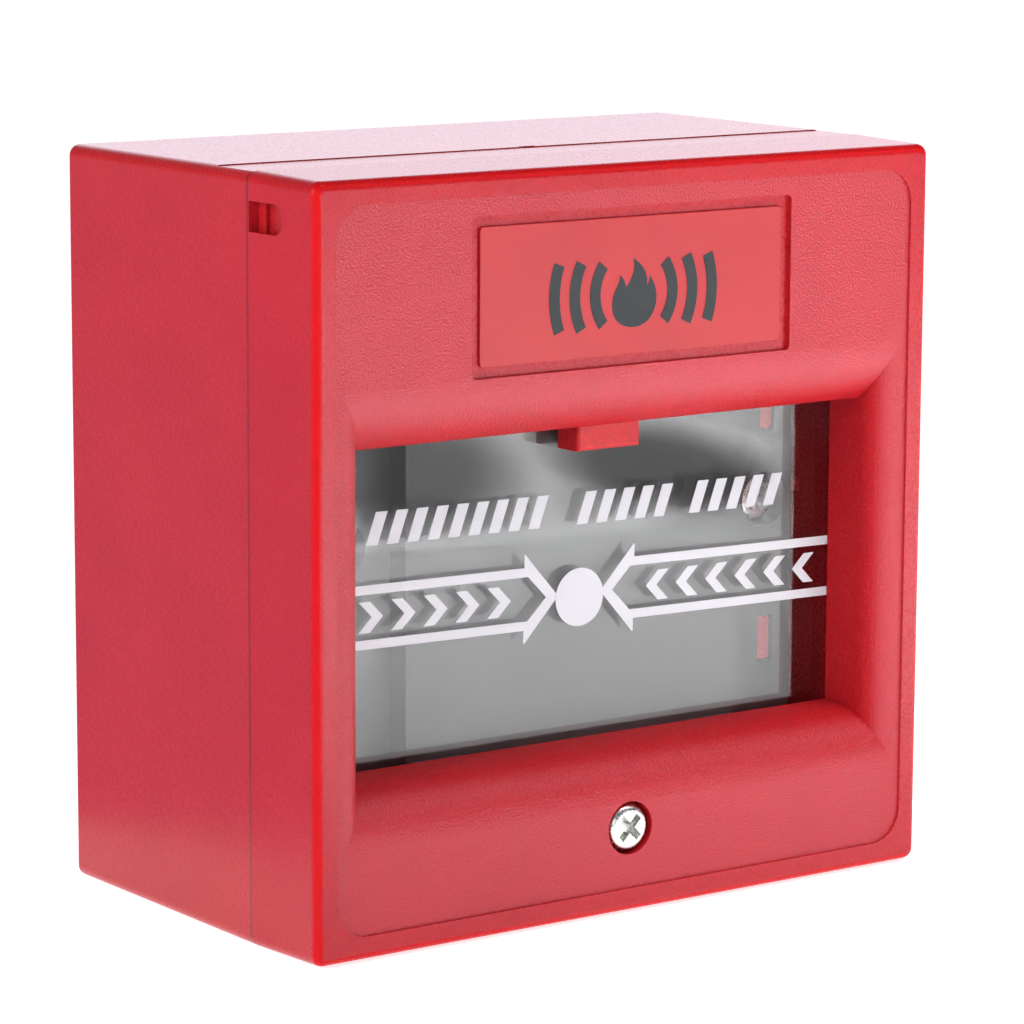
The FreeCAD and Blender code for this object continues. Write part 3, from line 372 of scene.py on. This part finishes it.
DARK_GREY = colour(0.026, 0.026, 0.028)
MATERIALS = {
    "back_box": red_body("red_smooth"),
    "front_cover": red_body("red_textured", panel=True),
    "label_plate": red_label(),
    "drop_tab": red_tab(),
    "base_plate": matt_plastic("grey_plate", DARK_GREY, colour(0.020, 0.020, 0.022), 0.42),
    "glass_pane": pane_glass(),
    "cover_screw": metal("bright_screw", colour(0.64, 0.66, 0.63), colour(0.34, 0.34, 0.32), 0.26),
    "base_screws": metal("zinc_screw", colour(0.72, 0.72, 0.74), colour(0.45, 0.45, 0.48), 0.30),
    "board_screws": metal("board_screw_steel", colour(0.68, 0.68, 0.70),
                          colour(0.42, 0.42, 0.45), 0.3),
    "threaded_inserts": metal("insert_brass", colour(0.78, 0.57, 0.25),
                              colour(0.5, 0.33, 0.12), 0.28),
    "screw_retainer": matt_plastic("nylon", colour(0.78, 0.76, 0.70),
                                   colour(0.70, 0.68, 0.62), 0.4),
    "tab_spring": metal("tab_spring_steel", colour(0.62, 0.62, 0.63),
                        colour(0.4, 0.38, 0.36), 0.25),
    "carrier_springs": metal("carrier_spring_steel", colour(0.60, 0.60, 0.61),
                             colour(0.4, 0.38, 0.36), 0.25),
    "pane_carrier": matt_plastic("carrier_black", colour(0.028, 0.028, 0.03),
                                 colour(0.018, 0.018, 0.02), 0.45),
    "circuit_board": board_laminate(),
    "switch_case": matt_plastic("switch_black", colour(0.022, 0.022, 0.023),
                                colour(0.014, 0.014, 0.015), 0.35),
    "switch_lid": matt_plastic("switch_lid_black", colour(0.03, 0.03, 0.032),
                               colour(0.02, 0.02, 0.022), 0.40),
    "switch_plunger": matt_plastic("plunger_red", colour(0.55, 0.03, 0.02),
                                   colour(0.42, 0.02, 0.015), 0.35),
    "switch_lever": metal("lever_steel", colour(0.70, 0.70, 0.71), colour(0.45, 0.44, 0.43), 0.2,
                          (1.0, 6.0, 6.0)),
    "lever_pin": metal("pin_steel", colour(0.66, 0.66, 0.67), colour(0.42, 0.41, 0.40), 0.22),
    "switch_contacts": metal("contact_silver", colour(0.85, 0.84, 0.82),
                             colour(0.5, 0.48, 0.45), 0.2),
    "contact_blade": metal("blade_bronze", colour(0.74, 0.50, 0.30), colour(0.5, 0.32, 0.18), 0.24,
                           (1.0, 6.0, 6.0)),
    "switch_terminals": metal("switch_pin_tin", colour(0.74, 0.74, 0.73),
                              colour(0.5, 0.5, 0.48), 0.3),
    "terminal_housing": matt_plastic("terminal_green", colour(0.02, 0.22, 0.06),
                                     colour(0.014, 0.17, 0.045), 0.42),
    "terminal_cages": metal("cage_nickel", colour(0.70, 0.68, 0.64), colour(0.45, 0.43, 0.4), 0.28),
    "terminal_screws": metal("terminal_screw_zinc", colour(0.70, 0.70, 0.72),
                             colour(0.44, 0.44, 0.47), 0.28),
    "terminal_pins": metal("terminal_pin_tin", colour(0.74, 0.74, 0.73),
                           colour(0.5, 0.5, 0.48), 0.3),
}
for node_name, material in MATERIALS.items():
    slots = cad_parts[node_name].data.materials
    slots.clear()
    slots.append(material)


# --- springs, copied out as their coils -------------------------------------------------------
def live_spring(node_name):
    """The spring's coils, copied out as a piece of their own, with the CAD part hidden."""
    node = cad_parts[node_name]
    mesh = node.data.copy()
    mesh.transform(node.matrix_world)
    piece = add_object(node_name.rstrip("s") + "_coils", mesh)
    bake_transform(piece)
    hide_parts(node_name)


live_spring("carrier_springs")
live_spring("tab_spring")


# --- flat printed pieces ---------------------------------------------------------------------
LABEL_INK = ink("label_ink", colour(0.020, 0.026, 0.028), colour(0.075, 0.045, 0.045), 0.50)
PANE_INK = ink("pane_ink", colour(0.54, 0.54, 0.57), colour(0.46, 0.46, 0.48), 0.40)


def flat_piece(name, outlines, place, material, body):
    """Ink of one thickness whose (x, z) outlines in mm are put in place by a matrix."""
    mesh = bpy.data.meshes.new(name)
    bm = bmesh.new()
    for outline in outlines:
        ring = [bm.verts.new((x * MM, 0.0, z * MM)) for x, z in outline]
        face = bm.faces.new(ring)
        face.normal_update()
        if face.normal.y > 0:
            face.normal_flip()
    made = bmesh.ops.triangulate(bm, faces=bm.faces[:], ngon_method="EAR_CLIP")
    back = bmesh.ops.extrude_face_region(bm, geom=made["faces"])
    risen = [v for v in back["geom"] if isinstance(v, bmesh.types.BMVert)]
    bmesh.ops.translate(bm, verts=risen, vec=(0.0, -PRINT_THICK, 0.0))
    bmesh.ops.recalc_face_normals(bm, faces=bm.faces[:])
    bm.transform(place)
    bm.to_mesh(mesh)
    bm.free()
    piece = add_object(name, mesh)
    mesh.materials.append(material)
    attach(piece, body)


def mirrored(outlines):
    return [[(-x, z) for x, z in outline] for outline in outlines]


def arc_points(r, start, end, steps, middle_z=0.0):
    """Points of an arc, in degrees anticlockwise from +X."""
    turns = [math.radians(start + (end - start) * i / steps) for i in range(steps + 1)]
    return [(r * math.cos(t), middle_z + r * math.sin(t)) for t in turns]


def band(r, width, half_angle, steps=24):
    """Thick arc about +X with square ends."""
    outer = arc_points(r + width / 2, -half_angle, half_angle, steps)
    return outer + arc_points(r - width / 2, half_angle, -half_angle, steps)


def curve_points(spans, steps=8):
    """Outline through cubic Bezier spans given as (start, handle, handle, end)."""
    points = []
    for p0, p1, p2, p3 in spans:
        for i in range(steps):
            t = i / steps
            s = 1.0 - t
            points.append(tuple(s ** 3 * a + 3 * s * s * t * b + 3 * s * t * t * c + t ** 3 * d
                                for a, b, c, d in zip(p0, p1, p2, p3)))
    return points


# --- print on the pane, in mm: two hollow arrows, a dot, chevrons and a striped band ----------
PRINT_SHIFT_X = -1.0   # the print sits slightly off centre and off square on the pane
PRINT_TILT = 0.9       # degrees
PRINT_MARGIN = 0.6     # bare glass at each end
PRINT_LAYER = 1.1      # print thicknesses from the arrows to the dot printed over their tips
PRINT_AXIS_Z = -7.15
DOT_R = 3.37
DOT_DROP = 0.4
LINE_HALF = (2.55, 3.6)
WING = (7.8, 5.1)
WING_BLUNT = 0.15
TIP_OUTER = 3.0
TIP_INNER = 4.7
ELBOW_X = TIP_INNER + LINE_HALF[0]
CHEVRON_START = 9.6
CHEVRON_PITCH = 4.35
CHEVRON_WIDTH = 1.5
CHEVRON_HALF_Z = 1.75
CHEVRON_COUNT = 6
STRIPE_Z = (8.0, 11.7)
STRIPE_LEAN = 1.3
STRIPE_WIDTH = 1.55
STRIPE_PITCH = 2.75
STRIPE_GROUPS = ((-29.4, 9), (-0.6, 5), (15.6, 5))


def pane_place():
    middle_x = (pane_low.x + pane_high.x) / 2 + PRINT_SHIFT_X * MM
    shift = Matrix.Translation((middle_x, GLASS_Y - PRINT_GAP, PRINT_AXIS_Z * MM))
    return shift @ Matrix.Rotation(math.radians(PRINT_TILT), 4, "Y")


def arrow(end_x):
    """Hollow arrow on the right of the dot, pointing at it, open at the pane's edge."""
    low, high = LINE_HALF
    wing_x, wing_z = WING
    outer = [(end_x, high), (wing_x, high), WING, (wing_x - WING_BLUNT, wing_z), (TIP_OUTER, 0.0)]
    inner = [(TIP_INNER, 0.0), (ELBOW_X, low), (end_x, low)]
    top = outer + inner
    bottom = [(x, -z) for x, z in top]
    return [top, bottom]


def chevron(x):
    reach = CHEVRON_HALF_Z
    return [(x, 0.0), (x + reach, reach), (x + reach + CHEVRON_WIDTH, reach),
            (x + CHEVRON_WIDTH, 0.0), (x + reach + CHEVRON_WIDTH, -reach), (x + reach, -reach)]


def stripe(x):
    low, high = STRIPE_Z
    return [(x, low), (x + STRIPE_WIDTH, low), (x + STRIPE_WIDTH + STRIPE_LEAN, high),
            (x + STRIPE_LEAN, high)]


def pane_print():
    place = pane_place()
    reach = (pane_high.x - pane_low.x) / 2 / MM - PRINT_MARGIN
    right = arrow(reach - PRINT_SHIFT_X)
    left = mirrored(arrow(reach + PRINT_SHIFT_X))
    marks = [chevron(CHEVRON_START + CHEVRON_PITCH * i) for i in range(CHEVRON_COUNT)]
    stripes = [stripe(start + STRIPE_PITCH * i) for start, count in STRIPE_GROUPS
               for i in range(count)]
    dot = [arc_points(DOT_R, 0.0, 355.0, 71, -DOT_DROP)]
    groups = {
        "pane_arrow_right": right, "pane_arrow_left": left, "pane_dot": dot,
        "pane_chevrons_right": marks, "pane_chevrons_left": mirrored(marks),
        "pane_striped_band": stripes,
    }
    over = Matrix.Translation((0.0, -PRINT_LAYER * PRINT_THICK, 0.0))
    for name, outlines in groups.items():
        layer = over @ place if name == "pane_dot" else place
        flat_piece(name, outlines, layer, PANE_INK, "pane")


# --- symbol on the label, in mm: a flame between sound arcs -----------------------------------
FLAME = (
    ((0.0, -3.85), (-2.2, -3.85), (-3.3, -2.5), (-3.0, -0.7)),
    ((-3.0, -0.7), (-2.8, 0.5), (-2.0, 1.0), (-1.9, 2.1)),
    ((-1.9, 2.1), (-1.5, 1.7), (-1.2, 1.2), (-1.15, 0.6)),
    ((-1.15, 0.6), (-0.4, 1.5), (0.3, 2.5), (-0.1, 3.85)),
    ((-0.1, 3.85), (1.5, 3.0), (2.0, 1.7), (1.75, 0.7)),
    ((1.75, 0.7), (2.1, 1.0), (2.2, 1.4), (2.2, 1.8)),
    ((2.2, 1.8), (3.1, 0.7), (3.4, -0.6), (2.9, -1.9)),
    ((2.9, -1.9), (2.4, -3.2), (1.2, -3.85), (0.0, -3.85)),
)
ARC_WIDTH = 1.45
ARC_RADII = (5.4, 8.2, 11.0)
ARC_SPREAD = (38.0, 27.0, 20.0)
SYMBOL_Z = -0.85       # the symbol sits a little below the middle of the plate


def label_symbol():
    place = Matrix.Translation((0.0, LABEL_Y - PRINT_GAP, LABEL_MID_Z + SYMBOL_Z * MM))
    flat_piece("label_flame", [curve_points(FLAME)], place, LABEL_INK, "cover")
    right = [band(r, ARC_WIDTH, spread) for r, spread in zip(ARC_RADII, ARC_SPREAD)]
    flat_piece("label_arcs_right", right, place, LABEL_INK, "cover")
    flat_piece("label_arcs_left", mirrored(right), place, LABEL_INK, "cover")


pane_print()
label_symbol()


# --- floor, light and camera -----------------------------------------------------------------
FLOOR_HALF = 3.0       # metres, as are the lamps' places; the cards and the film are in mm
CARD_LIFT = 0.2
CARD_Z = FLOOR_Z / MM + CARD_LIFT
SIDE_CARD = ((-150.0, -160.0, CARD_Z), (400.0, 896.0, CARD_Z), (-700.0, 1400.0, CARD_Z),
             (-900.0, 0.0, CARD_Z))
FRONT_CARD = ((-150.0, -160.0, CARD_Z), (-900.0, 0.0, CARD_Z), (-900.0, -900.0, CARD_Z),
              (-250.0, -900.0, CARD_Z))
FLOOR_GLOW = 0.73      # the paper lies on a light table
FLAG_Y = -200.0
FLAG_SPAN = ((50.0, 175.0), (-43.0, -12.0))
# each blot: middle x and z, half width, half height, lean in degrees, strength
FLAG_BLOTS = ((134.0, -26.5, 36.0, 10.0, -13.0, 0.97), (82.0, -22.0, 36.0, 13.0, -8.0, 0.93),
              (105.0, -22.0, 60.0, 16.0, 0.0, 0.45))


def stage_sheet(name, corners, material):
    mesh = bpy.data.meshes.new(name)
    mesh.from_pydata(corners, [], [(0, 1, 2, 3)])
    sheet = add_object(name, mesh)
    mesh.materials.append(material)
    return sheet


def only_mirrored(sheet):
    """Seen in gloss and glass, and never by the camera or by soft light."""
    sheet.visible_camera = False
    sheet.visible_diffuse = False
    sheet.visible_shadow = False


def studio_floor():
    n = Nodes("floor_paper")
    fibre = n.noise(0.4, 3.0, 0.6)
    n.principled(Base_Color=colour(0.93, 0.93, 0.93), Roughness=0.9, Specular_IOR_Level=0.0,
                 Emission_Color=colour(1.0, 0.98, 1.0), Emission_Strength=FLOOR_GLOW,
                 Normal=n.bump(fibre, 0.01, 0.2))
    ring = [(-FLOOR_HALF, -FLOOR_HALF), (FLOOR_HALF, -FLOOR_HALF), (FLOOR_HALF, FLOOR_HALF),
            (-FLOOR_HALF, FLOOR_HALF)]
    stage_sheet("studio_floor", [(x, y, FLOOR_Z) for x, y in ring], n.material)


def card(name, corners, tint, glow):
    """Flat coloured card beside the set, seen only as a soft reflection in the gloss."""
    n = Nodes(name)
    n.principled(Base_Color=tint, Roughness=n.ramp(n.noise(0.05), 0.3, 0.7, 0.85, 0.95),
                 Specular_IOR_Level=0.0, Emission_Color=tint, Emission_Strength=glow)
    corners = [tuple(c * MM for c in corner) for corner in corners]
    only_mirrored(stage_sheet(name, corners, n.material))


def flag():
    """Strip of clear film with soft dark blots, which the glass mirrors."""
    n = Nodes("flag_film")
    x, z = n.axis("X"), n.axis("Z")
    shade = 0.0
    for mid_x, mid_z, half_x, half_z, lean, strength in FLAG_BLOTS:
        along, across = math.cos(math.radians(lean)), math.sin(math.radians(lean))
        dx = n.math("SUBTRACT", n.math("MULTIPLY", x, PER_MM), mid_x)
        dz = n.math("SUBTRACT", n.math("MULTIPLY", z, PER_MM), mid_z)
        u = n.math("ADD", n.math("MULTIPLY", dx, along / half_x),
                   n.math("MULTIPLY", dz, across / half_x))
        v = n.math("SUBTRACT", n.math("MULTIPLY", dz, along / half_z),
                   n.math("MULTIPLY", dx, across / half_z))
        reach = n.math("SQRT", n.math("ADD", n.math("MULTIPLY", u, u), n.math("MULTIPLY", v, v)))
        shade = n.math("MAXIMUM", shade, n.ramp(reach, 0.35, 1.15, strength, 0.0))
    dark = n.principled(Base_Color=colour(0.01, 0.01, 0.012), Roughness=0.9,
                        Specular_IOR_Level=0.0)
    mix = n.add("ShaderNodeMixShader")
    n.put(mix.inputs[0], shade)
    n.put(mix.inputs[1], n.add("ShaderNodeBsdfTransparent").outputs[0])
    n.put(mix.inputs[2], dark.outputs[0])
    n.put(n.out.inputs["Surface"], mix.outputs[0])
    (left, right), (low, high) = FLAG_SPAN
    corners = [(a * MM, FLAG_Y * MM, b * MM)
               for a, b in ((left, low), (right, low), (right, high), (left, high))]
    only_mirrored(stage_sheet("studio_flag", corners, n.material))


def softbox(name, place, target, size, watts, spread):
    lamp = bpy.data.lights.new(name, "AREA")
    lamp.spread = math.radians(spread)
    lamp.shape = "RECTANGLE"
    lamp.size, lamp.size_y = size
    lamp.energy = watts
    holder = add_object(name, lamp)
    holder.location = place
    holder.rotation_euler = (Vector(target) - Vector(place)).to_track_quat("-Z", "Y").to_euler()


BACKDROP = (0.576, 0.799, 0.171)   # the bright backdrop's direction from the object
ROOM_TINT = (0.96, 0.90, 1.0)
ROOM_LEVEL = 0.21
# for each glow of the room: the cosines where it starts and is full, and its gain
OVERHEAD = (0.6, 1.0, 0.1)
BACK_GLOW = (0.80, 0.97, 2.0)
AIM = (0.0, -0.025, 0.0)           # the middle of the object
# each lamp: name, place, what it points at, size, watts, spread in degrees
SOFTBOXES = (("table_light", (0.14, -0.33, 0.40), (0.14, -0.33, 0.0), (0.25, 0.25), 2.5, 70.0),
             ("key", (0.48, -0.50, 0.50), AIM, (0.3, 0.3), 0.45, 180.0),
             ("fill", (-0.55, -0.90, 0.20), AIM, (0.3, 0.3), 1.0, 180.0),
             ("side_light", (-0.80, -0.10, 0.30), AIM, (0.5, 0.4), 5.0, 180.0))


def studio_light():
    """Pale room, brighter overhead and towards the backdrop, and four softboxes."""
    world = bpy.data.worlds.new("studio")
    bpy.context.scene.world = world
    world.use_nodes = True
    tree = world.node_tree
    direction = tree.nodes.new("ShaderNodeTexCoord").outputs["Generated"]

    def lobe(towards, low, high, gain):
        dot = tree.nodes.new("ShaderNodeVectorMath")
        dot.operation = "DOT_PRODUCT"
        tree.links.new(direction, dot.inputs[0])
        dot.inputs[1].default_value = towards
        ramp = tree.nodes.new("ShaderNodeMapRange")
        ramp.interpolation_type = "SMOOTHSTEP"
        tree.links.new(dot.outputs["Value"], ramp.inputs["Value"])
        ramp.inputs["From Min"].default_value = low
        ramp.inputs["From Max"].default_value = high
        ramp.inputs["To Max"].default_value = gain
        return ramp.outputs[0]

    glows = tree.nodes.new("ShaderNodeMath")
    tree.links.new(lobe((0.0, 0.0, 1.0), *OVERHEAD), glows.inputs[0])
    tree.links.new(lobe(BACKDROP, *BACK_GLOW), glows.inputs[1])
    room = tree.nodes.new("ShaderNodeMath")
    tree.links.new(glows.outputs[0], room.inputs[0])
    room.inputs[1].default_value = ROOM_LEVEL
    background = tree.nodes["Background"]
    background.inputs["Color"].default_value = colour(*ROOM_TINT)
    tree.links.new(room.outputs[0], background.inputs["Strength"])
    for lamp in SOFTBOXES:
        softbox(*lamp)


CAMERA_PLACE = Vector((-291.4, -431.66, 86.64)) * MM
CAMERA_YAW = 35.79     # degrees to the right of +Y
CAMERA_PITCH = 9.855   # degrees below level
CAMERA_ROLL = 0.26
CAMERA_LENS = 152.5
CAMERA_SENSOR = 36.0


def camera():
    data = bpy.data.cameras.new("camera")
    data.lens = CAMERA_LENS
    data.sensor_width = CAMERA_SENSOR
    data.clip_start = 0.01
    eye = add_object("camera", data)
    turn = (Matrix.Rotation(math.radians(-CAMERA_YAW), 4, "Z")
            @ Matrix.Rotation(math.radians(90.0 - CAMERA_PITCH), 4, "X")
            @ Matrix.Rotation(math.radians(CAMERA_ROLL), 4, "Z"))
    eye.matrix_world = Matrix.Translation(CAMERA_PLACE) @ turn
    bpy.context.scene.camera = eye


studio_floor()
card("front_card", FRONT_CARD, colour(0.10, 0.10, 0.11), 0.0)
card("side_card", SIDE_CARD, colour(0.55, 0.49, 0.80), 0.2)
flag()
studio_light()
camera()
bpy.context.scene.view_settings.view_transform = "Standard"
bpy.context.scene.view_settings.look = "None"
